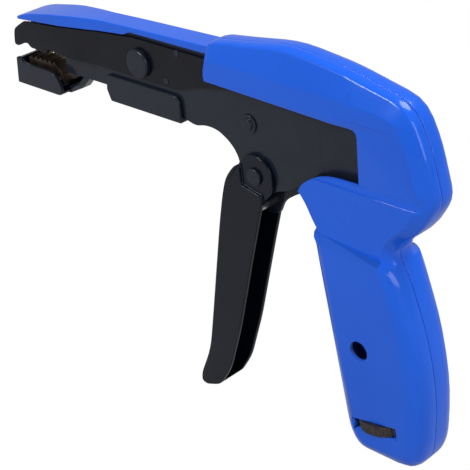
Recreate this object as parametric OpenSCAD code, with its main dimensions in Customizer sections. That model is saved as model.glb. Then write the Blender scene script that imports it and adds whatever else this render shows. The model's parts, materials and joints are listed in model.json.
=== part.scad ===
// Cable tie tensioning tool: pistol-shaped hand tool that pulls a cable tie tight and cuts its tail.
// Side outlines lie in the X-Z plane, nose towards -X, and are shares of the reach.

/* [Side profile] */
// Reach from the origin of the side outlines to the nose, which every side outline follows
reach = 100; // [92:1:110]

/* [Plates] */
// Thickness of the frame and barrel plates
plate_t = 1.0; // [0.8:0.1:1.2]
// Clear gap between the two frame plates
frame_gap = 3.6; // [3.4:0.1:4.2]
// Depth of the frame plates' inward joggle inside the housing
joggle = 0.5; // [0.3:0.1:0.6]
// How far each barrel plate flares outwards at the nose
nose_flare = 1.4; // [1.0:0.1:1.8]

/* [Barrel] */
// Half width of the barrel cover behind the flare
cover_half_w = 3.8; // [3.6:0.1:4.2]
// Half width of the barrel cover at the nose
cover_nose_half_w = 5.3; // [4.8:0.1:5.6]
// Wall of the barrel cover
cover_t = 0.9; // [0.7:0.1:1.2]
// Sheet thickness of the nose tray and the guide channel
tray_t = 1.2; // [1.0:0.1:1.4]
// Half width of the nose tray
tray_half_w = 5.4; // [5.2:0.1:6]
// Radius of the large barrel rivet's head
barrel_head_r = 4.3; // [3.6:0.1:4.6]
// Height of the large barrel rivet's head
barrel_head_h = 1.6; // [1.2:0.1:2]
// Radius of the large barrel rivet's shank
barrel_shank_r = 2.2; // [1.6:0.1:2.6]
// Radius of the small barrel pins
small_pin_r = 1.0; // [0.8:0.1:1.2]

/* [Gripper] */
// Width of the gripper pawl
pawl_w = 6.4; // [5.6:0.1:7]
// Number of teeth on the gripper
pawl_teeth = 6; // [5:1:8]
// Height of a gripper tooth
tooth_h = 0.9; // [0.6:0.1:1.1]

/* [Trigger] */
// Width of the trigger channel
trigger_w = 10; // [9.2:0.1:11]
// Sheet thickness of the trigger
trigger_t = 1.2; // [1.0:0.1:1.4]
// Radius of the trigger's ears
ear_r = 6.3; // [5.8:0.1:6.8]
// Radius of the trigger's pivot pin
trigger_pin_r = 2.0; // [1.6:0.1:2.4]

/* [Link work] */
// Thickness of the drive lever, the drive link and the pull bar's tongue
link_t = 1.15; // [0.9:0.05:1.2]
// Radius of the drive link's ends
link_r = 3.0; // [2.6:0.1:3.4]
// Radius of the link and lever pins
link_pin_r = 1.25; // [1.0:0.05:1.4]

/* [Housing] */
// Half thickness of the housing's body and neck
body_half_t = 6.0; // [5.8:0.1:6.6]
// Half thickness of the grip
grip_half_t = 8.0; // [7.6:0.1:8.4]
// Wall of the housing
wall = 2.0; // [1.6:0.1:2.2]
// Place of the parting line across the width
parting_y = -1.0; // [-1.2:0.1:-0.6]
// Depth of the recessed side panel
panel_d = 0.4; // [0.2:0.1:0.6]
// Radius of the round hole in the grip
grip_hole_r = 2.9; // [2.4:0.1:3.2]
// Radius of the housing screws
screw_r = 1.2; // [1:0.1:1.4]

/* [Tension setting] */
// Radius of the thumbwheel
wheel_r = 9.4; // [9:0.1:9.8]
// Thickness of the thumbwheel
wheel_t = 3.0; // [2.6:0.1:3.2]
// Depth of a knurl groove on the thumbwheel
knurl_d = 0.35; // [0.2:0.05:0.5]
// Clearance round the thumbwheel in its slot
slot_gap = 0.35; // [0.3:0.05:0.5]
// Outer radius of the tension spring
spring_r = 4.4; // [4:0.1:4.6]
// Wire diameter of the tension spring
spring_wire_d = 1.3; // [1.1:0.1:1.4]
// Number of turns of the tension spring
spring_turns = 10; // [8:1:11]
// Radius of the tension rod
rod_r = 1.5; // [1.3:0.1:1.7]
// Radius of the spring nut's sleeve
sleeve_r = 2.6; // [2.4:0.1:2.8]

/* [Fits] */
// Radial clearance of a pin that turns in its hole
run_gap = 0.05; // [0.03:0.01:0.08]
// Gap between sheets that slide past each other
slide_gap = 0.15; // [0.1:0.05:0.2]
// Radial clearance of the pins of opened linkages and of trimming slots
open_gap = 0.8; // [0.6:0.1:1]

/* [Hidden] */

$fn = 48;
overrun = 1;

// Places across the width
frame_in = frame_gap / 2;
frame_out = frame_in + plate_t;
barrel_out = frame_out + plate_t;
nose_in = frame_out + nose_flare;
bar_half = frame_in - slide_gap;
joggle_in = frame_in - joggle;
link_in = slide_gap / 3;
trigger_in = trigger_w / 2 - trigger_t;
link_pin_out = trigger_in + trigger_t / 2;
ear_in = frame_out + slide_gap;
ear_out = trigger_in + trigger_t * 0.3;

// Pivots in the side view, as shares of the reach
trigger_pivot_share = [-0.021, -0.016];
frame_rivet_share = [-0.040, 0.130];
barrel_rivet_share = [-0.448, 0.220];
low_pin_share = [-0.345, 0.1875];
high_pin_share = [-0.290, 0.280];
link_low_share = [-0.025, -0.115];
link_high_share = [0.215, 0.040];
bar_pin_share = [0.169, 0.132];
lever_pivot_share = [0.270, -0.070];
tension_pivot_share = [0.395, -0.125];
rod_pin_share = [0.306, -0.140];
pawl_pivot_share = [-0.850, 0.078];
grip_hole_share = [0.354, -0.410];

// Axis of the tension spring: it leans back towards the grip's end
lean = 10;
wheel_share = [0.397, -0.642];
wheel_at = reach * wheel_share;

// Lowest and middle places of the whole tool, which set its own origin
heel_share = 0.590;
tip_share = -1.030;
toe_share = -0.803;
centre_x = reach * (heel_share + tip_share) / 2;
bottom_z = reach * toe_share;

module place() {
    translate([-centre_x, 0, -bottom_z])
        children();
}

function unit(v) = v / norm(v);
corner_steps = 4;
housing_steps = 3;
// Most of a side that one corner may take
corner_limit_share = 0.46;

// Rounded corner b between a and c: a parabola that starts and ends at most cut away from b
function corner(a, b, c, cut, steps) =
    let (
        p = b + unit(a - b) * min(cut, norm(a - b) * corner_limit_share),
        q = b + unit(c - b) * min(cut, norm(c - b) * corner_limit_share)
    )
    [for (i = [0:steps])
        let (t = i / steps)
        p * (1 - t) * (1 - t) + b * 2 * t * (1 - t) + q * t * t];

// Closed outline in real sizes from rows of [x share, z share, corner share]
function outline(shares, steps = corner_steps) =
    let (n = len(shares), p = [for (s = shares) reach * [s[0], s[1]]])
    [for (i = [0:n - 1])
        each (shares[i][2] > 0
            ? corner(p[(i + n - 1) % n], p[i], p[(i + 1) % n], reach * shares[i][2], steps)
            : [p[i]])];

// Plate with a side outline between two places across the width
module slab(points, y0, y1) {
    translate([0, y1, 0])
        rotate([90, 0, 0])
            linear_extrude(y1 - y0)
                polygon(points);
}

// Round bar across the width at a place in the side view, also used to drill
module bar_at(share, r, y0, y1) {
    translate([reach * share[0], y0, reach * share[1]])
        rotate([-90, 0, 0])
            cylinder(h = y1 - y0, r = r);
}

module mirrored(side) {
    if (side < 0)
        mirror([0, 1, 0]) children();
    else
        children();
}

// Solid through rings of equal length, from the first ring's flat end to the last one's
module loft(rings) {
    m = len(rings);
    n = len(rings[0]);
    points = [for (ring = rings) each ring];
    sides = [for (j = [0:m - 2], i = [0:n - 1])
        each [
            [j * n + i, j * n + (i + 1) % n, (j + 1) * n + (i + 1) % n],
            [j * n + i, (j + 1) * n + (i + 1) % n, (j + 1) * n + i]
        ]];
    polyhedron(points, concat([[for (i = [n - 1:-1:0]) i]], sides, [[for (i = [0:n - 1]) (m - 1) * n + i]]));
}

// Coil of round wire along +Z with straight ends, as one unbroken tube
coil_rings = 8;
coil_sides = 6;
function coil_path(r, pitch, turns) =
    [for (k = [0:turns * coil_rings])
        let (a = 360 * k / coil_rings)
        [r * cos(a), r * sin(a), pitch * k / coil_rings]];
function frames(path, d) =
    let (
        n = len(path),
        first = unit(path[1] - path[0]),
        last = unit(path[n - 1] - path[n - 2]),
        run = concat([path[0] - first * d], path, [path[n - 1] + last * d])
    )
    run;
module wire(path, d) {
    run = frames(path, d);
    n = len(run);
    rings = [for (k = [0:n - 1])
        let (
            t = unit(run[min(k + 1, n - 1)] - run[max(k - 1, 0)]),
            u = unit(cross(t, [0, 0, 1])),
            v = cross(t, u)
        )
        [for (s = [0:coil_sides - 1])
            let (a = -360 * s / coil_sides)
            run[k] + (u * cos(a) + v * sin(a)) * d / 2]];
    loft(rings);
}

// Housing outline where the sides begin, and the outline of its flat sides, row by row
ridge_shares = [
    [-0.178, 0.200, 0.010], [0.110, 0.030, 0.010], [0.150, -0.020, 0.030], [0.182, -0.080, 0.030],
    [0.202, -0.125, 0.020], [0.209, -0.190, 0.060], [0.262, -0.500, 0.060], [0.292, -0.690, 0.040],
    [0.325, -0.740, 0.030], [0.520, -0.742, 0.040], [0.548, -0.675, 0.050], [0.558, -0.500, 0.080],
    [0.532, -0.330, 0.080], [0.474, -0.160, 0.040],
    [0.445, -0.115, 0.030], [0.470, -0.070, 0.050], [0.540, -0.020, 0.050], [0.590, 0.068, 0.030],
    [0.555, 0.214, 0.050], [0.507, 0.311, 0.050], [0.300, 0.360, 0.050], [0.117, 0.382, 0.060],
    [-0.040, 0.359, 0.030], [-0.166, 0.343, 0.030], [-0.189, 0.260, 0.030]];
flat_shares = [
    [-0.165, 0.200, 0.010], [0.130, 0.020, 0.010], [0.172, -0.020, 0.030], [0.203, -0.082, 0.030],
    [0.245, -0.135, 0.010], [0.255, -0.190, 0.060], [0.298, -0.500, 0.060], [0.325, -0.675, 0.030],
    [0.350, -0.708, 0.020], [0.476, -0.700, 0.030], [0.494, -0.655, 0.050], [0.503, -0.500, 0.080],
    [0.482, -0.330, 0.080], [0.428, -0.150, 0.020],
    [0.422, -0.110, 0.020], [0.440, -0.060, 0.040], [0.500, -0.010, 0.050], [0.545, 0.072, 0.030],
    [0.510, 0.210, 0.050], [0.480, 0.272, 0.050], [0.300, 0.284, 0.050], [0.115, 0.288, 0.060],
    [-0.040, 0.291, 0.030], [-0.157, 0.292, 0.020], [-0.169, 0.260, 0.020]];
// First and last row of the grip, which is thicker than the body
grip_rows = [4, 13];

// Steps from ridge to flat: share of the way across and share of the half thickness
body_step_shares = [[0, 0], [0, 0.30], [0.06, 0.56], [0.16, 0.68], [0.90, 0.96], [1, 1]];
grip_step_shares = [[0, 0], [0.01, 0.42], [0.11, 0.70], [0.37, 0.89], [0.75, 0.975], [1, 1]];

// Rows at the lowest and the highest end of the outline, where its front and back sides meet
low_row_index = 8;
high_row_index = 21;

// Triangles between two chains of points that both climb, from their lowest pair to their highest
function zipped(p, left, right, i = 0, j = 0) =
    i == len(left) - 1 && j == len(right) - 1 ? []
    : j == len(right) - 1 || (i < len(left) - 1 && p[left[i + 1]][1] < p[right[j + 1]][1])
        ? concat([[left[i], right[j], left[i + 1]]], zipped(p, left, right, i + 1, j))
        : concat([[left[i], right[j], right[j + 1]]], zipped(p, left, right, i, j + 1));

// One housing half from the parting plane out to its sides, as one closed skin
module housing_outer(start_y) {
    a = outline(ridge_shares, housing_steps);
    b = outline(flat_shares, housing_steps);
    n = len(a);
    per_row = housing_steps + 1;
    m = len(body_step_shares);
    first = grip_rows[0] * per_row;
    last = (grip_rows[1] + 1) * per_row - 1;
    low = (low_row_index + 1) * per_row - 1;
    high = high_row_index * per_row + 1;
    function in_grip(i) = i >= first && i <= last;
    points = [for (k = [0:m - 1], i = [0:n - 1])
        let (
            s = in_grip(i) ? grip_step_shares[k] : body_step_shares[k],
            half_t = in_grip(i) ? grip_half_t : body_half_t,
            p = a[i] + (b[i] - a[i]) * s[0]
        )
        [p[0], k == 0 ? start_y : s[1] * half_t, p[1]]];
    sides = [for (j = [0:m - 2], i = [0:n - 1])
        each [
            [j * n + i, j * n + (i + 1) % n, (j + 1) * n + (i + 1) % n],
            [j * n + i, (j + 1) * n + (i + 1) % n, (j + 1) * n + i]
        ]];
    front_top = [for (i = [n - 1:-1:high + 1]) i];
    inner_cap = zipped(a,
        concat([for (i = [low:-1:0]) i], front_top),
        [for (i = [low + 1:high]) i]);
    grip_cap = zipped(b, [for (i = [low:-1:first]) i], [for (i = [low + 1:last]) i]);
    body_cap = zipped(b,
        concat([for (i = [first - 1:-1:0]) i], front_top),
        [for (i = [last + 1:high]) i]);
    step_caps = [[first - 1, first, last], [first - 1, last, last + 1]];
    top = (m - 1) * n;
    polyhedron(points, concat(
        [for (t = inner_cap) [t[2], t[1], t[0]]],
        sides,
        [for (t = concat(grip_cap, body_cap, step_caps)) [for (i = t) top + i]]));
}

// Room inside the housing
body_room_shares = [
    [-0.300, 0.200, 0], [-0.300, 0.330, 0], [-0.140, 0.330, 0], [0.100, 0.345, 0], [0.300, 0.315, 0],
    [0.465, 0.270, 0], [0.520, 0.180, 0], [0.548, 0.070, 0], [0.500, 0.000, 0], [0.428, -0.070, 0],
    [0.425, -0.160, 0], [0.235, -0.160, 0], [0.205, -0.100, 0], [0.172, -0.020, 0], [0.195, 0.010, 0],
    [0.250, 0.035, 0], [0.385, 0.042, 0], [0.385, 0.200, 0]];
grip_room_shares = [
    [0.235, -0.150, 0], [0.290, -0.500, 0], [0.320, -0.680, 0], [0.345, -0.710, 0], [0.490, -0.705, 0],
    [0.508, -0.650, 0], [0.515, -0.500, 0], [0.490, -0.330, 0], [0.428, -0.172, 0], [0.425, -0.150, 0]];
plate_slot_shares = [
    [0.120, 0.100, 0], [0.120, -0.110, 0], [0.220, -0.110, 0], [0.220, -0.030, 0], [0.390, 0.000, 0],
    [0.390, 0.225, 0], [0.355, 0.225, 0], [0.355, 0.100, 0]];
panel_shares = [
    [0.330, 0.200, 0], [0.330, 0.243, 0.004], [0.470, 0.239, 0.03], [0.510, 0.205, 0.03],
    [0.548, 0.070, 0.01], [0.350, 0.070, 0], [0.350, 0.200, 0]];
// Window under the body, open to the front
window_shares = [
    [-0.400, 0.241, 0], [-0.180, 0.235, 0], [0.361, 0.219, 0.020], [0.361, 0.066, 0.005],
    [0.245, 0.062, 0.040], [0.172, 0.032, 0.050], [0.138, -0.030, 0], [-0.400, -0.030, 0]];
valley_shares = [
    [0.100, 0.074, 0.002], [0.700, 0.074, 0.002], [0.700, 0.048, 0.002], [0.100, 0.048, 0.002]];
valley_d = panel_d * 1.5;

screw_shares = [[0.130, 0.322], [0.508, 0.135], [0.475, -0.500]];
boss_r = screw_r * 2.4;
screw_head_r = screw_r * 1.9;
screw_head_h = screw_r * 0.9;

// Rooms inside the housing, and how far each screw boss reaches into the side wall
body_room_half = barrel_out + slide_gap;
grip_room_half = grip_half_t - wall;
boss_outs = [body_room_half + wall / 4, body_room_half + wall / 4, grip_room_half + wall / 4];
head_floors = boss_outs - [screw_head_h, 0, 0];

// Thumbwheel slot, square to the wheel's axis
slot_half_share = 0.0765;
module wheel_frame() {
    translate([wheel_at[0], 0, wheel_at[1]])
        rotate([0, -lean, 0])
            children();
}

module housing_cuts() {
    slab(outline(body_room_shares), -body_room_half, body_room_half);
    slab(outline(grip_room_shares), -grip_room_half, grip_room_half);
    slab(outline(window_shares), -body_half_t - overrun, body_half_t + overrun);
    slab(outline(plate_slot_shares), -frame_out - slide_gap, frame_out + slide_gap);
    for (side = [-1, 1])
        mirrored(side)
            slab(outline(panel_shares), body_half_t - panel_d, body_half_t + overrun);
    for (side = [-1, 1])
        mirrored(side)
            slab(outline(valley_shares), body_half_t - valley_d, body_half_t + overrun);
    wheel_frame()
        translate([-reach * slot_half_share, -grip_half_t - overrun, -wheel_t / 2 - slot_gap])
            cube([2 * reach * slot_half_share, 2 * (grip_half_t + overrun), wheel_t + 2 * slot_gap]);
    wheel_frame()
        translate([0, 0, -wheel_t / 2 - slot_gap])
            cylinder(h = wheel_t + 2 * slot_gap, r = wheel_r + slot_gap);
    bar_at(grip_hole_share, grip_hole_r, -grip_half_t - overrun, grip_half_t + overrun);
}

module shell(side) {
    difference() {
        mirrored(side)
            housing_outer(side * parting_y);
        housing_cuts();
    }
    for (k = [0:len(screw_shares) - 1])
        mirrored(side)
            bar_at(screw_shares[k], boss_r, side * parting_y, boss_outs[k]);
}

module left_shell() {
    color([0.10, 0.33, 0.85])
        difference() {
            shell(-1);
            for (k = [0:len(screw_shares) - 1])
                bar_at(screw_shares[k], screw_r, -boss_outs[k] + wall / 2, overrun);
        }
}

module right_shell() {
    color([0.11, 0.35, 0.88])
        difference() {
            shell(1);
            for (s = screw_shares)
                bar_at(s, screw_r + run_gap, parting_y - overrun, grip_half_t + overrun);
            for (k = [0:len(screw_shares) - 1])
                bar_at(screw_shares[k], screw_head_r + slide_gap, head_floors[k], grip_half_t + overrun);
        }
}

module housing_screws() {
    color([0.25, 0.25, 0.26])
        for (k = [0:len(screw_shares) - 1]) {
            bar_at(screw_shares[k], screw_r, -boss_outs[k] + wall, head_floors[k]);
            bar_at(screw_shares[k], screw_head_r, head_floors[k], head_floors[k] + screw_head_h);
        }
}

// Barrel cover: a crowned strip over the plates, wider at the nose
cover_side_shares = [
    [-0.985, 0.252, 0], [-0.985, 0.262, 0], [-0.935, 0.278, 0.03], [-0.816, 0.298, 0.05],
    [-0.716, 0.308, 0.05], [-0.620, 0.314, 0.05], [-0.500, 0.318, 0.05], [-0.160, 0.326, 0.03],
    [-0.040, 0.326, 0], [-0.040, 0.302, 0], [-0.480, 0.302, 0.005], [-0.510, 0.290, 0.005],
    [-0.660, 0.276, 0.02]];
cover_inner_shares = [
    [-0.960, 0.240, 0], [-0.960, 0.252, 0], [-0.816, 0.288, 0], [-0.716, 0.298, 0], [-0.620, 0.304, 0],
    [-0.500, 0.308, 0], [-0.160, 0.316, 0], [0.000, 0.316, 0], [0.000, 0.240, 0]];
flare_start_share = -0.620;
flare_end_share = -0.780;

// Plan outline of a strip of the given half widths behind and in front of the flare
function flare_plan(back_half, nose_half) = [
    [0, -back_half], [reach * flare_start_share, -back_half], [reach * flare_end_share, -nose_half],
    [reach * tip_share, -nose_half], [reach * tip_share, nose_half], [reach * flare_end_share, nose_half],
    [reach * flare_start_share, back_half], [0, back_half]];

module plan_block(points) {
    linear_extrude(reach)
        polygon(points);
}

module barrel_cover() {
    color([0.10, 0.34, 0.88])
        difference() {
            intersection() {
                slab(outline(cover_side_shares), -cover_nose_half_w, cover_nose_half_w);
                plan_block(flare_plan(cover_half_w, cover_nose_half_w));
            }
            intersection() {
                slab(outline(cover_inner_shares), -cover_nose_half_w, cover_nose_half_w);
                plan_block(flare_plan(cover_half_w - cover_t, cover_nose_half_w - cover_t));
            }
        }
}

// Barrel plate with the upper jaw and the slot for the tie
barrel_plate_shares = [
    [-0.960, 0.248, 0], [-0.990, 0.230, 0.02], [-1.012, 0.215, 0.02], [-1.020, 0.165, 0.01],
    [-1.002, 0.162, 0.01], [-0.968, 0.178, 0.01], [-0.950, 0.180, 0.01], [-0.940, 0.168, 0.01],
    [-0.880, 0.168, 0], [-0.860, 0.180, 0.01], [-0.760, 0.170, 0.03], [-0.310, 0.168, 0.03],
    [-0.270, 0.178, 0.02], [-0.220, 0.195, 0.02], [-0.100, 0.215, 0], [0.050, 0.225, 0], [0.050, 0.285, 0],
    [-0.480, 0.290, 0], [-0.510, 0.286, 0.01], [-0.660, 0.274, 0.02]];

module barrel_plate(side) {
    color([0.13, 0.13, 0.14])
        mirrored(side)
            difference() {
                intersection() {
                    slab(outline(barrel_plate_shares), 0, cover_nose_half_w + plate_t);
                    plan_block([
                        [reach, frame_out], [reach * flare_start_share, frame_out],
                        [reach * flare_end_share, nose_in], [reach * (tip_share - 1), nose_in],
                        [reach * (tip_share - 1), nose_in + plate_t],
                        [reach * flare_end_share, nose_in + plate_t],
                        [reach * flare_start_share, barrel_out], [reach, barrel_out]]);
                }
                bar_at(barrel_rivet_share, barrel_shank_r, 0, 2 * barrel_out);
                bar_at(low_pin_share, small_pin_r, 0, 2 * barrel_out);
                bar_at(high_pin_share, small_pin_r, 0, 2 * barrel_out);
            }
}

module left_barrel_plate() {
    barrel_plate(-1);
}

module right_barrel_plate() {
    barrel_plate(1);
}

// Frame plate: barrel arm, trigger lobe and the part that reaches into the housing
frame_plate_shares = [
    [-0.600, 0.082, 0.01], [-0.295, 0.082, 0], [-0.253, 0.070, 0.02], [-0.213, 0.082, 0.03],
    [-0.165, 0.080, 0.03], [-0.120, 0.055, 0.03], [-0.092, 0.020, 0.03], [-0.082, -0.040, 0.03],
    [-0.020, -0.085, 0.04], [0.040, -0.050, 0.03], [0.080, -0.039, 0.03], [0.125, -0.009, 0.02],
    [0.190, 0.035, 0.01], [0.215, -0.040, 0], [0.235, -0.105, 0.01], [0.335, -0.105, 0],
    [0.355, -0.165, 0.01], [0.405, -0.165, 0.01], [0.410, -0.070, 0.02], [0.450, 0.020, 0.02],
    [0.470, 0.180, 0.02], [0.400, 0.285, 0.02], [0.050, 0.288, 0], [-0.160, 0.304, 0],
    [-0.600, 0.298, 0.01]];

joggle_start_share = 0.203;
joggle_end_share = 0.247;

module frame_plate(side) {
    color([0.15, 0.16, 0.18])
        mirrored(side)
            difference() {
                intersection() {
                    slab(outline(frame_plate_shares), 0, 2 * frame_out);
                    translate([0, 0, -reach])
                        linear_extrude(2 * reach)
                            polygon([
                                [-reach, frame_in], [reach * joggle_start_share, frame_in],
                                [reach * joggle_end_share, joggle_in], [reach, joggle_in],
                                [reach, joggle_in + plate_t], [reach * joggle_end_share, joggle_in + plate_t],
                                [reach * joggle_start_share, frame_out], [-reach, frame_out]]);
                }
                bar_at(trigger_pivot_share, trigger_pin_r + run_gap, 0, 2 * frame_out);
                bar_at(frame_rivet_share, link_pin_r, 0, 2 * frame_out);
                bar_at(barrel_rivet_share, barrel_shank_r, 0, 2 * frame_out);
                bar_at(low_pin_share, small_pin_r, 0, 2 * frame_out);
                bar_at(high_pin_share, small_pin_r, 0, 2 * frame_out);
                bar_at(lever_pivot_share, link_pin_r, 0, 2 * frame_out);
                bar_at(tension_pivot_share, link_pin_r, 0, 2 * frame_out);
                bar_at(screw_shares[1], boss_r + slide_gap, 0, 2 * frame_out);
            }
}

module left_frame_plate() {
    frame_plate(-1);
}

module right_frame_plate() {
    frame_plate(1);
}

// Fixed block between the jaw plates
anvil_shares = [
    [-0.955, 0.246, 0], [-0.985, 0.228, 0.02], [-1.004, 0.212, 0.02], [-1.012, 0.165, 0.008],
    [-0.998, 0.164, 0.008], [-0.968, 0.180, 0.008], [-0.945, 0.178, 0.008], [-0.930, 0.160, 0],
    [-0.880, 0.160, 0], [-0.860, 0.180, 0], [-0.800, 0.190, 0], [-0.780, 0.235, 0.01]];
blade_slot_shares = [[-0.975, 0.100, 0], [-0.945, 0.100, 0], [-0.945, 0.300, 0], [-0.975, 0.300, 0]];
lever_slot_shares = [[-0.978, 0.170, 0], [-0.700, 0.170, 0], [-0.700, 0.300, 0], [-0.978, 0.300, 0]];
blade_half_w = nose_in * 0.8 - slide_gap / 2;

module nose_anvil() {
    color([0.14, 0.14, 0.15])
        difference() {
            slab(outline(anvil_shares), -nose_in, nose_in);
            slab(outline(blade_slot_shares), -blade_half_w - slide_gap / 2, blade_half_w + slide_gap / 2);
            slab(outline(lever_slot_shares), -bar_half / 2 - slide_gap, bar_half / 2 + slide_gap);
        }
}

// Blade that drops through the jaw, and the long lever that drives it
blade_shares = [[-0.971, 0.192, 0], [-0.949, 0.186, 0], [-0.949, 0.232, 0], [-0.971, 0.232, 0]];

module cutter_blade() {
    color([0.55, 0.56, 0.58])
        slab(outline(blade_shares), -blade_half_w, blade_half_w);
}

cutoff_shares = [
    [-0.972, 0.234, 0], [-0.942, 0.234, 0], [-0.925, 0.205, 0.01], [-0.780, 0.200, 0.02],
    [-0.448, 0.180, 0.04], [-0.350, 0.205, 0.02], [-0.040, 0.200, 0.01], [-0.030, 0.222, 0.01],
    [-0.350, 0.250, 0.02], [-0.448, 0.262, 0.04], [-0.780, 0.262, 0.02], [-0.940, 0.250, 0.02]];

module cutoff_lever() {
    color([0.30, 0.30, 0.31])
        difference() {
            slab(outline(cutoff_shares), -bar_half / 2, bar_half / 2);
            bar_at(barrel_rivet_share, barrel_shank_r + run_gap, -barrel_out, barrel_out);
            bar_at(low_pin_share, small_pin_r + open_gap, -barrel_out, barrel_out);
        }
}

module barrel_rivet() {
    color([0.12, 0.12, 0.13]) {
        bar_at(barrel_rivet_share, barrel_shank_r, -barrel_out, barrel_out);
        for (side = [-1, 1])
            mirrored(side)
                translate([reach * barrel_rivet_share[0], barrel_out, reach * barrel_rivet_share[1]])
                    rotate([-90, 0, 0])
                        rotate_extrude()
                            polygon([
                                [0, 0], [barrel_head_r, 0], [barrel_head_r, barrel_head_h * 0.75],
                                [barrel_head_r - barrel_head_h * 0.25, barrel_head_h], [0, barrel_head_h]]);
    }
}

module barrel_pins() {
    color([0.55, 0.55, 0.57]) {
        bar_at(low_pin_share, small_pin_r, -barrel_out - slide_gap, barrel_out + slide_gap);
        bar_at(high_pin_share, small_pin_r, -barrel_out - slide_gap, barrel_out + slide_gap);
    }
}

rivet_ring_r = link_pin_r * 2.2;
rivet_dome_r = link_pin_r * 1.35;
module frame_rivet() {
    color([0.12, 0.12, 0.13]) {
        bar_at(frame_rivet_share, link_pin_r, -frame_out, frame_out);
        for (side = [-1, 1])
            mirrored(side) {
                bar_at(frame_rivet_share, rivet_ring_r, frame_out, frame_out + plate_t / 2);
                bar_at(frame_rivet_share, rivet_dome_r, frame_out + plate_t / 2, frame_out + plate_t);
            }
    }
}

// Folded channel that closes the frame arms from below
channel_shares = [
    [-0.612, 0.102, 0.005], [-0.598, 0.068, 0.005], [-0.300, 0.068, 0.005], [-0.298, 0.150, 0.03],
    [-0.606, 0.150, 0.005]];
channel_floor_share = 0.082;

module guide_channel() {
    color([0.15, 0.16, 0.18])
        difference() {
            slab(outline(channel_shares), -frame_out - tray_t, frame_out + tray_t);
            translate([-reach, -frame_out, reach * channel_floor_share])
                cube([reach, 2 * frame_out, reach]);
        }
}

// Pull bar with its guide slot and the thin tongue that the drive lever moves
bar_shares = [
    [-0.820, 0.103, 0], [0.050, 0.103, 0], [0.050, 0.160, 0], [-0.820, 0.160, 0.01]];
tongue_shares = [
    [0.050, 0.103, 0], [0.120, 0.096, 0.01], [0.200, 0.096, 0.02], [0.200, 0.200, 0.02], [0.140, 0.200, 0.02],
    [0.110, 0.160, 0.02], [0.050, 0.160, 0]];
stroke_share = 0.088;

module slot_at(share, r, dx, dz, y0, y1) {
    bar_at(share, r, y0, y1);
    bar_at([share[0] + dx, share[1] + dz], r, y0, y1);
    slab([
        reach * share + [dz != 0 ? r : 0, dx != 0 ? r : 0],
        reach * share - [dz != 0 ? r : 0, dx != 0 ? r : 0],
        reach * (share + [dx, dz]) - [dz != 0 ? r : 0, dx != 0 ? r : 0],
        reach * (share + [dx, dz]) + [dz != 0 ? r : 0, dx != 0 ? r : 0]], y0, y1);
}

module pull_bar() {
    color([0.26, 0.24, 0.22])
        difference() {
            union() {
                slab(outline(bar_shares), -bar_half, bar_half);
                slab(outline(tongue_shares), link_in, link_in + link_t);
            }
            slot_at(frame_rivet_share, link_pin_r + slide_gap, -stroke_share, 0, -barrel_out, barrel_out);
            slot_at(bar_pin_share, link_pin_r + open_gap / 2, 0, 0.024, -barrel_out, barrel_out);
        }
}

// Nose tray: U-shaped, carried on the front of the pull bar
tray_wall_shares = [
    [-1.020, 0.126, 0.01], [-1.030, 0.037, 0.005], [-0.815, 0.037, 0.02], [-0.815, 0.065, 0.02],
    [-0.840, 0.108, 0.025], [-0.985, 0.108, 0.01]];
tray_floor_share = 0.049;
tray_front_shares = [[-1.019, 0.120, 0], [-1.029, 0.049, 0], [-1.017, 0.049, 0], [-1.008, 0.120, 0]];
tray_neck_shares = [
    [-0.840, 0.037, 0], [-0.815, 0.037, 0], [-0.755, 0.065, 0], [-0.718, 0.103, 0], [-0.745, 0.103, 0],
    [-0.775, 0.075, 0], [-0.815, 0.060, 0], [-0.840, 0.049, 0]];
tray_in = tray_half_w - tray_t;

module nose_tray() {
    color([0.14, 0.15, 0.17]) {
        difference() {
            slab(outline(tray_wall_shares), -tray_half_w, tray_half_w);
            translate([-2 * reach, -tray_in, reach * tray_floor_share])
                cube([2 * reach, 2 * tray_in, reach]);
        }
        slab(outline(tray_front_shares), -tray_in, tray_in);
        slab(outline(tray_neck_shares), -bar_half, bar_half);
    }
}

// Toothed gripper that turns a little on its pin in the tray
pawl_shares = [
    [-0.985, 0.122, 0], [-0.985, 0.092, 0.01], [-0.875, 0.060, 0.02], [-0.850, 0.054, 0.01],
    [-0.824, 0.068, 0.01], [-0.822, 0.098, 0], [-0.850, 0.122, 0]];
tooth_pitch_share = 0.022;
tooth_lean_share = 0.015;
tooth_root = reach * [-0.985, 0.1215];

module gripper_pawl() {
    color([0.45, 0.38, 0.28])
        difference() {
            union() {
                slab(outline(pawl_shares), -pawl_w / 2, pawl_w / 2);
                for (k = [0:pawl_teeth - 1])
                    let (at = tooth_root + [reach * tooth_pitch_share * k, 0])
                    slab([at, at + [reach * tooth_pitch_share, 0], at + [reach * tooth_lean_share, tooth_h]],
                        -pawl_w / 2, pawl_w / 2);
            }
            bar_at(pawl_pivot_share, small_pin_r + run_gap, -pawl_w, pawl_w);
        }
}

module pawl_pin() {
    color([0.5, 0.5, 0.52])
        bar_at(pawl_pivot_share, small_pin_r, -tray_in, tray_in);
}

pawl_spring_shares = [[-0.960, 0.049, 0], [-0.860, 0.049, 0], [-0.860, 0.052, 0], [-0.955, 0.055, 0]];
module pawl_spring() {
    color([0.6, 0.6, 0.62])
        slab(outline(pawl_spring_shares), -pawl_w / 6, pawl_w / 6);
}

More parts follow.
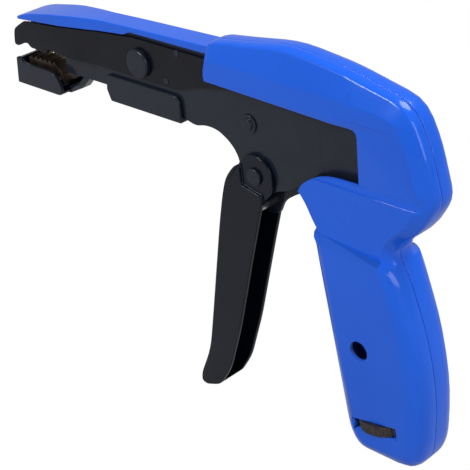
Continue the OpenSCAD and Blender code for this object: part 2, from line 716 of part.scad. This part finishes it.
// Trigger: a pressed channel whose ears turn on the frame plates
trigger_shares = [
    [-0.072, 0.010, 0.02], [-0.095, -0.002, 0.02], [-0.130, -0.045, 0.03], [-0.148, -0.100, 0.03],
    [-0.170, -0.190, 0.06], [-0.240, -0.530, 0.08], [-0.268, -0.660, 0.05], [-0.318, -0.765, 0.02],
    [-0.322, -0.797, 0.012], [-0.300, -0.803, 0.012], [-0.240, -0.780, 0.02], [-0.190, -0.705, 0.03],
    [-0.130, -0.540, 0.05], [-0.043, -0.240, 0.05], [0.003, -0.090, 0.02], [0.003, -0.068, 0.01],
    [-0.070, -0.052, 0.01]];
ear_shares = [
    [-0.084, -0.020, 0.03], [-0.100, -0.045, 0.01], [-0.110, -0.100, 0], [-0.010, -0.100, 0],
    [0.030, -0.060, 0.01], [0.042, -0.016, 0.02], [-0.021, 0.020, 0.01]];
shift_in_share = [0.016, 0.013];
ear_low_share = 0.225;
ear_room_shares = [
    [-0.120, 0.060, 0], [-0.120, 0.000, 0], [-0.095, -0.060, 0], [0.100, -0.060, 0], [0.100, 0.060, 0]];
lobe_room_shares = [[-0.125, -0.035, 0], [-0.110, -0.120, 0], [0.100, -0.120, 0], [0.100, -0.030, 0]];

module trigger() {
    color([0.06, 0.06, 0.065])
        difference() {
            union() {
                slab(outline(trigger_shares), -trigger_w / 2, trigger_w / 2);
                for (side = [-1, 1])
                    mirrored(side) {
                        bar_at(trigger_pivot_share, ear_r, ear_in, ear_out);
                        slab(outline(ear_shares), ear_in, ear_out);
                    }
            }
            difference() {
                translate([reach * shift_in_share[0], 0, reach * shift_in_share[1]])
                    slab(outline(trigger_shares), -trigger_in, trigger_in);
                translate([-reach, -trigger_w, -reach])
                    cube([2 * reach, 2 * trigger_w, reach * ear_low_share]);
            }
            slab(outline(ear_room_shares), -ear_in, ear_in);
            slab(outline(lobe_room_shares), -ear_in, ear_in);
            bar_at(trigger_pivot_share, trigger_pin_r, -trigger_w, trigger_w);
            bar_at(link_low_share, link_pin_r, -link_pin_out, link_pin_out);
        }
}

module trigger_pin() {
    color([0.12, 0.12, 0.13]) {
        bar_at(trigger_pivot_share, trigger_pin_r, -ear_out, ear_out);
        for (side = [-1, 1])
            mirrored(side)
                bar_at(trigger_pivot_share, trigger_pin_r * 1.25, ear_out, trigger_w / 2);
    }
}

trigger_spring_wire_d = 0.7;
trigger_spring_turns = 3;
module trigger_spring() {
    pitch = trigger_spring_wire_d * 1.3;
    color([0.6, 0.6, 0.62])
        translate([reach * trigger_pivot_share[0], -pitch * trigger_spring_turns / 2,
            reach * trigger_pivot_share[1]])
            rotate([-90, 0, 0])
                wire(coil_path(trigger_pin_r + trigger_spring_wire_d, pitch, trigger_spring_turns),
                    trigger_spring_wire_d);
}

// Flat link or lever between two round ends
module strap(a, b, r, y0, y1) {
    along = unit(reach * b - reach * a);
    side = [-along[1], along[0]] * r;
    bar_at(a, r, y0, y1);
    bar_at(b, r, y0, y1);
    slab([reach * a + side, reach * a - side, reach * b - side, reach * b + side], y0, y1);
}

link_shares = [
    [-0.055, -0.125, 0.02], [-0.030, -0.145, 0.02], [0.020, -0.134, 0.01], [0.036, -0.100, 0.01],
    [0.050, -0.084, 0.01], [0.082, -0.062, 0.01], [0.150, -0.022, 0.01], [0.235, 0.016, 0.02],
    [0.246, 0.055, 0.02], [0.205, 0.074, 0.02], [0.090, 0.015, 0.02], [-0.010, -0.070, 0.02],
    [-0.052, -0.095, 0.02]];

module drive_link() {
    color([0.10, 0.10, 0.11])
        difference() {
            slab(outline(link_shares), link_in, link_in + link_t);
            bar_at(link_low_share, link_pin_r + run_gap, -frame_out, frame_out);
            bar_at(link_high_share, link_pin_r + open_gap, -frame_out, frame_out);
        }
}

module link_lower_pin() {
    color([0.5, 0.5, 0.52])
        bar_at(link_low_share, link_pin_r, -link_pin_out, link_pin_out);
}

module link_upper_pin() {
    color([0.5, 0.5, 0.52])
        bar_at(link_high_share, link_pin_r, -link_in - link_t, link_in + link_t);
}

module drive_lever() {
    color([0.28, 0.28, 0.30]) {
        difference() {
            union() {
                strap(lever_pivot_share, link_high_share, link_r, -link_in - link_t, -link_in);
                strap(link_high_share, bar_pin_share, link_r * 0.9, -link_in - link_t, -link_in);
            }
            bar_at(lever_pivot_share, link_pin_r + run_gap, -frame_out, frame_out);
            bar_at(link_high_share, link_pin_r, -frame_out, frame_out);
        }
        bar_at(bar_pin_share, link_pin_r, -link_in - link_t, link_in + link_t);
    }
}

module lever_pin() {
    color([0.5, 0.5, 0.52])
        bar_at(lever_pivot_share, link_pin_r, -joggle_in - plate_t, joggle_in + plate_t);
}

// Lever that trips the cut: rod arm in the neck, tall arm behind the window, long arm in the body
tension_shares = [
    [0.285, -0.165, 0.01], [0.396, -0.152, 0.02], [0.419, -0.125, 0.02], [0.412, -0.060, 0.02],
    [0.412, 0.180, 0.02], [0.395, 0.270, 0.02], [-0.020, 0.275, 0.01], [-0.025, 0.1975, 0.005],
    [-0.070, 0.1975, 0.005], [-0.070, 0.178, 0.005], [0.000, 0.178, 0.01], [0.010, 0.245, 0.02],
    [0.340, 0.240, 0.03], [0.368, 0.180, 0.02], [0.368, -0.080, 0.02], [0.285, -0.115, 0.01]];

module tension_lever() {
    color([0.32, 0.32, 0.33])
        difference() {
            slab(outline(tension_shares), -link_t, link_t);
            bar_at(tension_pivot_share, link_pin_r + run_gap, -frame_out, frame_out);
            bar_at(rod_pin_share, link_pin_r + open_gap / 2, -frame_out, frame_out);
        }
}

module tension_lever_pin() {
    color([0.5, 0.5, 0.52])
        bar_at(tension_pivot_share, link_pin_r, -joggle_in - plate_t, joggle_in + plate_t);
}

// Rod, spring and their seats on the leaning axis of the grip
rod_top = (rod_pin_share[1] - wheel_share[1]) * reach / cos(lean);
flange_t = wheel_t / 2;
bracket_up = rod_top - link_r * 2.4 - flange_t - 2 * slide_gap;
nut_up_share = 0.125;
nut_up = reach * nut_up_share;
bracket_front_share = -0.075;
bracket_rear_share = 0.070;

module tension_rod() {
    color([0.45, 0.45, 0.47]) {
        wheel_frame()
            translate([0, 0, -wheel_t])
                cylinder(h = rod_top - link_r * 1.6 + wheel_t, r = rod_r);
        bar_at(rod_pin_share, link_pin_r, -link_t * 1.5, link_t * 1.5);
        for (side = [-1, 1])
            mirrored(side)
                wheel_frame()
                    translate([-rod_r, link_t + slide_gap, rod_top - link_r * 2])
                        cube([2 * rod_r, link_t * 0.8, link_r * 2 + link_pin_r]);
        wheel_frame()
            translate([-rod_r, -link_t * 1.8 - slide_gap, rod_top - link_r * 2.4])
                cube([2 * rod_r, 2 * (link_t * 1.8 + slide_gap), link_r * 0.9]);
    }
}

module spring_bracket() {
    color([0.2, 0.2, 0.21])
        difference() {
            wheel_frame()
                translate([reach * bracket_front_share, -grip_room_half, bracket_up])
                    cube([reach * (bracket_rear_share - bracket_front_share), 2 * grip_room_half, flange_t]);
            wheel_frame()
                cylinder(h = reach, r = rod_r + slide_gap);
        }
}

spring_low = nut_up + flange_t + spring_wire_d * 0.6;
spring_high = bracket_up - spring_wire_d * 0.6;
spring_pitch = (spring_high - spring_low) / spring_turns;
spring_path = coil_path(spring_r - spring_wire_d / 2, spring_pitch, spring_turns);
echo(least_coil_gap = min([for (k = [coil_rings:len(spring_path) - 1])
    norm(spring_path[k] - spring_path[k - coil_rings])]) - spring_wire_d);

module tension_spring() {
    color([0.6, 0.6, 0.62])
        wheel_frame()
            translate([0, 0, spring_low])
                wire(spring_path, spring_wire_d);
}

module spring_nut() {
    color([0.5, 0.5, 0.52])
        difference() {
            wheel_frame() {
                translate([0, 0, nut_up])
                    cylinder(h = flange_t, r = spring_r + spring_wire_d / 4);
                cylinder(h = nut_up, r = sleeve_r);
            }
            wheel_frame()
                translate([0, 0, -reach])
                    cylinder(h = 2 * reach, r = rod_r + run_gap);
        }
}

knurl_count = 60;
module thumbwheel() {
    color([0.16, 0.12, 0.09])
        wheel_frame()
            translate([0, 0, -wheel_t / 2])
                difference() {
                    linear_extrude(wheel_t)
                        polygon([for (k = [0:2 * knurl_count - 1])
                            let (a = 180 * k / knurl_count, r = wheel_r - (k % 2) * knurl_d)
                            [r * cos(a), r * sin(a)]]);
                    translate([0, 0, -overrun])
                        cylinder(h = wheel_t + 2 * overrun, r = sleeve_r + run_gap);
                }
}

place() left_shell();
place() right_shell();
place() barrel_cover();
place() left_barrel_plate();
place() right_barrel_plate();
place() left_frame_plate();
place() right_frame_plate();
place() nose_anvil();
place() cutter_blade();
place() cutoff_lever();
place() barrel_rivet();
place() barrel_pins();
place() frame_rivet();
place() guide_channel();
place() pull_bar();
place() nose_tray();
place() gripper_pawl();
place() pawl_pin();
place() pawl_spring();
place() trigger();
place() trigger_pin();
place() trigger_spring();
place() drive_link();
place() link_lower_pin();
place() link_upper_pin();
place() drive_lever();
place() lever_pin();
place() tension_lever();
place() tension_lever_pin();
place() tension_rod();
place() tension_spring();
place() spring_bracket();
place() spring_nut();
place() thumbwheel();
place() housing_screws();
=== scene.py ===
"""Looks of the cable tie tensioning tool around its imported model."""
import json
import math

import bmesh
import bpy
from mathutils import Matrix, Vector
from mathutils.bvhtree import BVHTree
from mathutils.kdtree import KDTree


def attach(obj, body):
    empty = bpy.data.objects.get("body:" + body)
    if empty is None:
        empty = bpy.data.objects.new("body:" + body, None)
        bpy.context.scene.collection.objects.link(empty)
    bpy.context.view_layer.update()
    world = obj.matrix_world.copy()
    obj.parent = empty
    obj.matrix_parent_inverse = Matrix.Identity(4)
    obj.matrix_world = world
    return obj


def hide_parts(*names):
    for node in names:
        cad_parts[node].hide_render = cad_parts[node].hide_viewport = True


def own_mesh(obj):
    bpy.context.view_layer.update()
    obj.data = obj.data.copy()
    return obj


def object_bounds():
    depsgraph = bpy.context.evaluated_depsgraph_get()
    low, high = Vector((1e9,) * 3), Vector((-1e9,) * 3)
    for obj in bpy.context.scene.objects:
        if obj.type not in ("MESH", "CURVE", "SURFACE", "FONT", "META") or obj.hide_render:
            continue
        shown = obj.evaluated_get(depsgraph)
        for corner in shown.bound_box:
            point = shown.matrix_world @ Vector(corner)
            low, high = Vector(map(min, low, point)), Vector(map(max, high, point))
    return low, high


MM = 0.001
IMAGE_PX = 470

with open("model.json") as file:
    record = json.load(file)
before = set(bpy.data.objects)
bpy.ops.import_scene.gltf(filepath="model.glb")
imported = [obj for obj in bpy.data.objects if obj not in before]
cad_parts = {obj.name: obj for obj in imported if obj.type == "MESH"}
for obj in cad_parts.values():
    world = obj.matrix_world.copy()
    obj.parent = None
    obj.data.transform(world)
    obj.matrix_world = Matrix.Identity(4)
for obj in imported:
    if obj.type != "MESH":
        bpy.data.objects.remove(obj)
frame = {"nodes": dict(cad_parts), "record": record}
cad_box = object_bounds()
BEHAVIOUR = frame["record"]["behaviour"]
BODY_OF = {node: body for body, nodes in BEHAVIOUR["bodies"].items() for node in nodes}
SLOT_OF = {row["node"]: row["material_slot"] for row in frame["record"]["subparts"]}
# The photograph shows these black, unlike the slots that the record has for them
SLOT_OF.update(pull_bar="black_steel", barrel_pins="black_steel")


# Materials

def shader(name, color, roughness, metallic=0.0, specular=0.5, coat=0.0, coat_roughness=0.1):
    """A new material with its Principled shader's own sockets set."""
    material = bpy.data.materials.new(name)
    material.use_nodes = True
    principled = material.node_tree.nodes["Principled BSDF"]
    principled.inputs["Base Color"].default_value = (*color, 1)
    principled.inputs["Roughness"].default_value = roughness
    principled.inputs["Metallic"].default_value = metallic
    principled.inputs["Specular IOR Level"].default_value = specular
    principled.inputs["Coat Weight"].default_value = coat
    principled.inputs["Coat Roughness"].default_value = coat_roughness
    return material, principled


def noise(material, scale, detail=3.0):
    """Noise in the object's own coordinates; scale is in cells per metre."""
    nodes, links = material.node_tree.nodes, material.node_tree.links
    place = nodes.new("ShaderNodeTexCoord")
    texture = nodes.new("ShaderNodeTexNoise")
    texture.inputs["Scale"].default_value = scale
    texture.inputs["Detail"].default_value = detail
    links.new(place.outputs["Object"], texture.inputs["Vector"])
    return texture


def add_bump(material, principled, scale, strength, distance=0.1 * MM, soft_edge=0.0):
    """Fine relief of the surface, and of its coat, over edges that look rounded."""
    nodes, links = material.node_tree.nodes, material.node_tree.links
    relief = noise(material, scale)
    bump = nodes.new("ShaderNodeBump")
    bump.inputs["Strength"].default_value = strength
    bump.inputs["Distance"].default_value = distance
    links.new(relief.outputs["Fac"], bump.inputs["Height"])
    if soft_edge:
        rounding = nodes.new("ShaderNodeBevel")
        rounding.samples = 8
        rounding.inputs["Radius"].default_value = soft_edge
        links.new(rounding.outputs["Normal"], bump.inputs["Normal"])
    links.new(bump.outputs["Normal"], principled.inputs["Normal"])
    links.new(bump.outputs["Normal"], principled.inputs["Coat Normal"])


def vary_color(material, principled, dark, light, scale):
    """Slow change between two near colours."""
    nodes, links = material.node_tree.nodes, material.node_tree.links
    ramp = nodes.new("ShaderNodeValToRGB")
    for element, position, color in zip(ramp.color_ramp.elements, (0.35, 0.65), (dark, light)):
        element.position = position
        element.color = (*color, 1)
    links.new(noise(material, scale).outputs["Fac"], ramp.inputs["Fac"])
    links.new(ramp.outputs["Color"], principled.inputs["Base Color"])


def vary_roughness(material, principled, low, high, scale):
    """Slow change of gloss, as handling leaves it."""
    nodes, links = material.node_tree.nodes, material.node_tree.links
    spread = nodes.new("ShaderNodeMapRange")
    spread.inputs["To Min"].default_value = low
    spread.inputs["To Max"].default_value = high
    links.new(noise(material, scale, detail=5.0).outputs["Fac"], spread.inputs["Value"])
    links.new(spread.outputs["Result"], principled.inputs["Roughness"])


def housing_blue():
    material, principled = shader(
        "housing_blue", (0.006, 0.115, 0.76), roughness=0.3, specular=0.1, coat=0.5,
        coat_roughness=0.04)
    vary_color(material, principled, (0.0058, 0.112, 0.745), (0.0064, 0.119, 0.78), scale=45)
    vary_roughness(material, principled, 0.24, 0.34, scale=120)
    add_bump(material, principled, scale=650, strength=0.015, soft_edge=0.35 * MM)
    return material


def painted_steel(name, color, coat=0.4):
    """Gloss paint on sheet steel."""
    material, principled = shader(
        name, color, roughness=0.38, specular=0.1, coat=coat, coat_roughness=0.08)
    dark, light = Vector(color) * 0.92, Vector(color) * 1.12
    vary_color(material, principled, dark, light, scale=160)
    vary_roughness(material, principled, 0.34, 0.48, scale=300)
    add_bump(material, principled, scale=1600, strength=0.05)
    return material


def black_steel():
    return painted_steel("black_steel", (0.0095, 0.013, 0.0235))


# Painted shade: the plates' black paint made darker to stand for the shade on the barrel plates
def shaded_barrel_black():
    return painted_steel("shaded_barrel_black", (0.004, 0.0045, 0.009), coat=0.2)


def trigger_black():
    material, principled = shader(
        "trigger_black", (0.004, 0.0065, 0.014), roughness=0.24, specular=0.06, coat=0.35,
        coat_roughness=0.05)
    vary_color(material, principled, (0.0035, 0.006, 0.013), (0.0045, 0.0075, 0.0155), scale=120)
    vary_roughness(material, principled, 0.18, 0.28, scale=200)
    add_bump(material, principled, scale=700, strength=0.05)
    return material


def brown_steel():
    material, principled = shader(
        "brown_steel", (0.05, 0.036, 0.028), roughness=0.36, metallic=0.8)
    vary_color(material, principled, (0.034, 0.026, 0.021), (0.095, 0.068, 0.05), scale=260)
    vary_roughness(material, principled, 0.28, 0.42, scale=700)
    add_bump(material, principled, scale=2200, strength=0.05)
    return material


def wheel_black():
    material, principled = shader(
        "wheel_black", (0.035, 0.027, 0.024), roughness=0.42, metallic=0.3)
    vary_color(material, principled, (0.022, 0.018, 0.017), (0.06, 0.045, 0.038), scale=600)
    vary_roughness(material, principled, 0.34, 0.52, scale=500)
    add_bump(material, principled, scale=2600, strength=0.1)
    return material


def bright_steel():
    material, principled = shader(
        "bright_steel", (0.50, 0.50, 0.52), roughness=0.3, metallic=1.0)
    vary_color(material, principled, (0.42, 0.42, 0.44), (0.56, 0.56, 0.58), scale=300)
    vary_roughness(material, principled, 0.24, 0.4, scale=500)
    add_bump(material, principled, scale=2500, strength=0.08)
    return material


MATERIALS = {finish.__name__: finish() for finish in (
    housing_blue, black_steel, shaded_barrel_black, trigger_black, brown_steel, wheel_black,
    bright_steel)}
# The barrel plates keep their slot and take a darker copy of the plates' black paint; the
# darkening is painted shade for the shade that falls on them
FINISH_OF = dict(SLOT_OF, left_barrel_plate="shaded_barrel_black", right_barrel_plate="shaded_barrel_black")


# Pieces

SHARP_ANGLE = math.radians(30)
SMOOTH_ANGLE = math.radians(35)
FLAT_ANGLE = math.radians(0.6)
WELD = 0.002 * MM
ROOM_SHARE = 0.4        # how much of the room beside an edge its rounding may take
TURNS_OFF = 0.6         # sine from which an edge no longer counts as going on in the same line
OVERSHOOT_SHARE = 0.6   # share of the rounding's width that a corner may lie off the surface
OVERSHOOT_REACH = 2     # widths around an overshoot within which no corner is rounded
NORMAL_WEIGHT = 60

SHELLS = ("left_shell", "right_shell")
PARTING_Y = -1.0 * MM
PARTING_TOLERANCE = 0.01 * MM
PARTING_GROOVE = 0.22 * MM

# The front step of the side panel's recess: its middle, how far from it the step's outer corners
# lie at most, and the way that they go along the window's upper edge to make a slope of it
PANEL_FRONT = Vector((55.2, 6.0, 103.4)) * MM
PANEL_FRONT_SPAN = Vector((0.4, 0.02, 1.4)) * MM
PANEL_SLOPE = Vector((-5.0, 0, 0.148)) * MM

# Width of the rounding of each node's sharp edges
EDGES_MM = {
    "barrel_cover": 0.35,
    "left_barrel_plate": 0.14, "right_barrel_plate": 0.14,
    "left_frame_plate": 0.14, "right_frame_plate": 0.14,
    "nose_anvil": 0.12, "nose_tray": 0.2, "gripper_pawl": 0.06,
    "guide_channel": 0.35, "pull_bar": 0.12,
    "trigger": 0.28, "trigger_pin": 0.2,
    "barrel_rivet": 0.25, "frame_rivet": 0.15, "barrel_pins": 0.1,
    "drive_link": 0.15, "thumbwheel": 0.12}


def ease_panel_front(mesh):
    """Draw the front step of the side panel's recess out into a slope."""
    for vertex in mesh.verts:
        at = Vector((vertex.co.x, abs(vertex.co.y), vertex.co.z))
        if all(abs(a - b) < span for a, b, span in zip(at, PANEL_FRONT, PANEL_FRONT_SPAN)):
            vertex.co += PANEL_SLOPE


def closed_copy(node):
    """The node's mesh as one welded mesh whose flat faces are single polygons."""
    mesh = bmesh.new()
    mesh.from_mesh(frame["nodes"][node].data)
    bmesh.ops.remove_doubles(mesh, verts=mesh.verts, dist=WELD)
    bmesh.ops.dissolve_limit(mesh, angle_limit=FLAT_ANGLE, verts=mesh.verts, edges=mesh.edges)
    if node in SHELLS:
        ease_panel_front(mesh)
    return mesh


def bake_modifiers(piece):
    """Replace the piece's mesh by what its modifiers make of it."""
    bpy.context.view_layer.update()
    evaluated = piece.evaluated_get(bpy.context.evaluated_depsgraph_get())
    result = bpy.data.meshes.new_from_object(evaluated)
    piece.modifiers.clear()
    piece.data = result


def turn(edge):
    """Angle between the two faces of an edge; more than any limit where it hasn't got two."""
    return edge.calc_face_angle(0.0) if len(edge.link_faces) == 2 else math.inf


def is_sharp(edge):
    return SHARP_ANGLE <= turn(edge) < math.inf


def on_parting_plane(edge):
    return all(abs(vertex.co.y - PARTING_Y) < PARTING_TOLERANCE for vertex in edge.verts)


def rounding_share(edge, width):
    """Share of the rounding that an edge takes, as far as the edges beside it leave room."""
    if not is_sharp(edge):
        return 0.0
    along = (edge.verts[1].co - edge.verts[0].co).normalized()
    room = width
    for vertex in edge.verts:
        for beside in vertex.link_edges:
            way = beside.other_vert(vertex).co - vertex.co
            slant = way.normalized().cross(along).length
            goes_on = slant < TURNS_OFF and is_sharp(beside)
            if beside is not edge and not goes_on:
                room = min(room, way.length * slant * ROOM_SHARE)
    return room / width


def rounded(mesh, name, width, shares, segments):
    """A piece of the mesh with its edges rounded by their shares of the width."""
    weight = mesh.edges.layers.float["bevel_weight_edge"]
    for edge in mesh.edges:
        edge[weight] = shares[edge.index]
    data = bpy.data.meshes.new(name)
    mesh.to_mesh(data)
    piece = bpy.data.objects.new(name, data)
    bpy.context.scene.collection.objects.link(piece)
    bevel = piece.modifiers.new("edges", "BEVEL")
    bevel.width = width
    bevel.segments = segments
    bevel.limit_method = "WEIGHT"
    bevel.use_clamp_overlap = False
    bevel.harden_normals = False
    bake_modifiers(piece)
    return piece


def drop_slivers(piece):
    """Take out faces without area, which a rounding leaves where it ends."""
    mesh = bmesh.new()
    mesh.from_mesh(piece.data)
    bmesh.ops.dissolve_degenerate(mesh, dist=WELD, edges=mesh.edges)
    mesh.to_mesh(piece.data)
    mesh.free()


def weight_normals(piece):
    """Let the large faces stay flat and the roundings carry the turn."""
    weighted = piece.modifiers.new("normals", "WEIGHTED_NORMAL")
    weighted.keep_sharp = False
    weighted.weight = NORMAL_WEIGHT
    bake_modifiers(piece)


def corners_overshot(piece, mesh, width, shares):
    """Rounded corners of the mesh near which crowded edges make the piece leave its surface."""
    found = set()
    softened = [v for v in mesh.verts if any(shares[edge.index] for edge in v.link_edges)]
    if not softened:
        return found
    corners = KDTree(len(softened))
    for vertex in softened:
        corners.insert(vertex.co, vertex.index)
    corners.balance()
    surface = BVHTree.FromBMesh(mesh)
    for vertex in piece.data.vertices:
        off = surface.find_nearest(vertex.co)[3]
        if off > OVERSHOOT_SHARE * width:
            reach = off + OVERSHOOT_REACH * width
            found.add(corners.find(vertex.co)[1])
            found.update(hit[1] for hit in corners.find_range(vertex.co, reach))
    return found


def finish_piece(piece, node):
    """Give a piece its node's finish and body, and let it stand for the node."""
    piece.data.materials.clear()
    piece.data.materials.append(MATERIALS[FINISH_OF[node]])
    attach(piece, BODY_OF[node])
    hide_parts(node)


def dress(node, width, segments=2, chosen=lambda edge: True):
    """A copy of a node with its chosen edges rounded, in the node's place and in its finish."""
    mesh = closed_copy(node)
    mesh.edges.layers.float.new("bevel_weight_edge")
    mesh.verts.index_update()
    mesh.edges.index_update()
    for edge in mesh.edges:
        edge.smooth = turn(edge) < SMOOTH_ANGLE
    for face in mesh.faces:
        face.smooth = True
    shares = [rounding_share(edge, width) if chosen(edge) else 0.0 for edge in mesh.edges]
    while True:
        piece = rounded(mesh, node + "_look", width, shares, segments)
        overshot = corners_overshot(piece, mesh, width, shares)
        if not overshot:
            break
        for edge in mesh.edges:
            if any(vertex.index in overshot for vertex in edge.verts):
                shares[edge.index] = 0.0
        bpy.data.objects.remove(piece)
    mesh.free()
    drop_slivers(piece)
    weight_normals(piece)
    finish_piece(piece, node)


for node, cad in frame["nodes"].items():
    cad.data.materials.clear()
    cad.data.materials.append(MATERIALS[FINISH_OF[node]])
for node, width_mm in EDGES_MM.items():
    dress(node, width_mm * MM)
for node in SHELLS:
    dress(node, PARTING_GROOVE, segments=1, chosen=on_parting_plane)


# The tension spring, copied as it rests; the real spring shortens as the nut climbs towards its
# fixed upper seat


def make_spring():
    """The tension spring as a copy of its rest mesh, in its node's finish and body."""
    rest = frame["nodes"]["tension_spring"]
    spring = bpy.data.objects.new("tension_spring_look", rest.data.copy())
    bpy.context.scene.collection.objects.link(spring)
    finish_piece(spring, "tension_spring")
    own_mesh(spring)


make_spring()


# Floor, light and camera

FLOOR_HALF = 1.5
FLOOR_DROP = 0.2 * MM   # gap between the object and the floor
FLOOR_GREY = (0.32, 0.32, 0.33, 1)
FLOOR_WHITE = 1.03
FLOOR_SHARE = 0.97      # share of the white; the rest is the grey, which takes the shadow
SKY_LIGHT = 0.2
GLOSS_SHARE = 0.35      # how white the background is in gloss
low, high = cad_box
middle = (low + high) / 2


def sees_white(nodes, links):
    """How white a ray sees the background: fully for the camera and glass, less for gloss."""
    rays = nodes.new("ShaderNodeLightPath")
    in_gloss = nodes.new("ShaderNodeMath")
    in_gloss.operation = "MULTIPLY_ADD"
    in_gloss.inputs[1].default_value = GLOSS_SHARE
    links.new(rays.outputs["Is Glossy Ray"], in_gloss.inputs[0])
    links.new(rays.outputs["Is Camera Ray"], in_gloss.inputs[2])
    either = nodes.new("ShaderNodeMath")
    either.operation = "MAXIMUM"
    links.new(in_gloss.outputs["Value"], either.inputs[0])
    links.new(rays.outputs["Is Transmission Ray"], either.inputs[1])
    return either.outputs["Value"]


def mix_shaders(nodes, links, share, first, second, out):
    """Lead two shaders, the second by its share, to the output."""
    mix = nodes.new("ShaderNodeMixShader")
    links.new(share, mix.inputs["Fac"])
    links.new(first, mix.inputs[1])
    links.new(second, mix.inputs[2])
    links.new(mix.outputs["Shader"], out.inputs["Surface"])


def make_floor():
    """A white floor that keeps the object's shadow."""
    place = (middle.x, middle.y, low.z - FLOOR_DROP)
    bpy.ops.mesh.primitive_plane_add(size=2 * FLOOR_HALF, location=place)
    floor = bpy.context.object
    floor.name = "floor"
    material = bpy.data.materials.new("floor_white")
    material.use_nodes = True
    nodes, links = material.node_tree.nodes, material.node_tree.links
    nodes.clear()
    out = nodes.new("ShaderNodeOutputMaterial")
    plain = nodes.new("ShaderNodeBsdfDiffuse")
    plain.inputs["Color"].default_value = FLOOR_GREY
    white = nodes.new("ShaderNodeEmission")
    white.inputs["Strength"].default_value = FLOOR_WHITE
    share = nodes.new("ShaderNodeMath")
    share.operation = "MULTIPLY"
    share.inputs[1].default_value = FLOOR_SHARE
    links.new(sees_white(nodes, links), share.inputs[0])
    mix_shaders(nodes, links, share.outputs["Value"], plain.outputs["BSDF"],
                white.outputs["Emission"], out)
    floor.data.materials.append(material)


def white_background(nodes, strength):
    background = nodes.new("ShaderNodeBackground")
    background.inputs["Color"].default_value = (1, 1, 1, 1)
    background.inputs["Strength"].default_value = strength
    return background.outputs["Background"]


def make_world():
    """A background that looks white and lights the object as a soft grey sky."""
    world = bpy.data.worlds.new("studio")
    bpy.context.scene.world = world
    world.use_nodes = True
    nodes, links = world.node_tree.nodes, world.node_tree.links
    nodes.clear()
    out = nodes.new("ShaderNodeOutputWorld")
    mix_shaders(nodes, links, sees_white(nodes, links), white_background(nodes, SKY_LIGHT),
                white_background(nodes, 1.0), out)


def softbox(name, place, size, power):
    """A square lamp that faces the object."""
    lamp = bpy.data.lights.new(name, "AREA")
    lamp.size = size
    lamp.energy = power
    holder = bpy.data.objects.new(name, lamp)
    holder.location = place
    holder.rotation_euler = (middle - Vector(place)).to_track_quat("-Z", "Y").to_euler()
    bpy.context.scene.collection.objects.link(holder)


def make_camera():
    """The photograph's camera: its place and its axes in the object's frame."""
    right = Vector((0.71190, 0.69736, -0.08298))
    down = Vector((0.27826, -0.38858, -0.87840))
    place = Vector((0.267972, -0.245168, 0.245938))
    focal_px = 1422.5
    data = bpy.data.cameras.new("camera")
    data.sensor_width = 36.0
    data.lens = data.sensor_width * focal_px / IMAGE_PX
    data.clip_start = 0.01
    camera = bpy.data.objects.new("camera", data)
    up = -down
    back = right.cross(up)
    axes = Matrix((right, up, back)).transposed().to_4x4()
    camera.matrix_world = Matrix.Translation(place) @ axes
    bpy.context.scene.collection.objects.link(camera)
    bpy.context.scene.camera = camera


make_floor()
make_world()
softbox("key", place=(-0.2, -0.65, 0.6), size=0.3, power=4.5)
softbox("top", place=(0.25, 0.35, 0.9), size=0.4, power=5.0)
softbox("side", place=(0.75, -0.1, 0.35), size=0.5, power=2.8)
make_camera()
bpy.context.scene.view_settings.view_transform = "Standard"
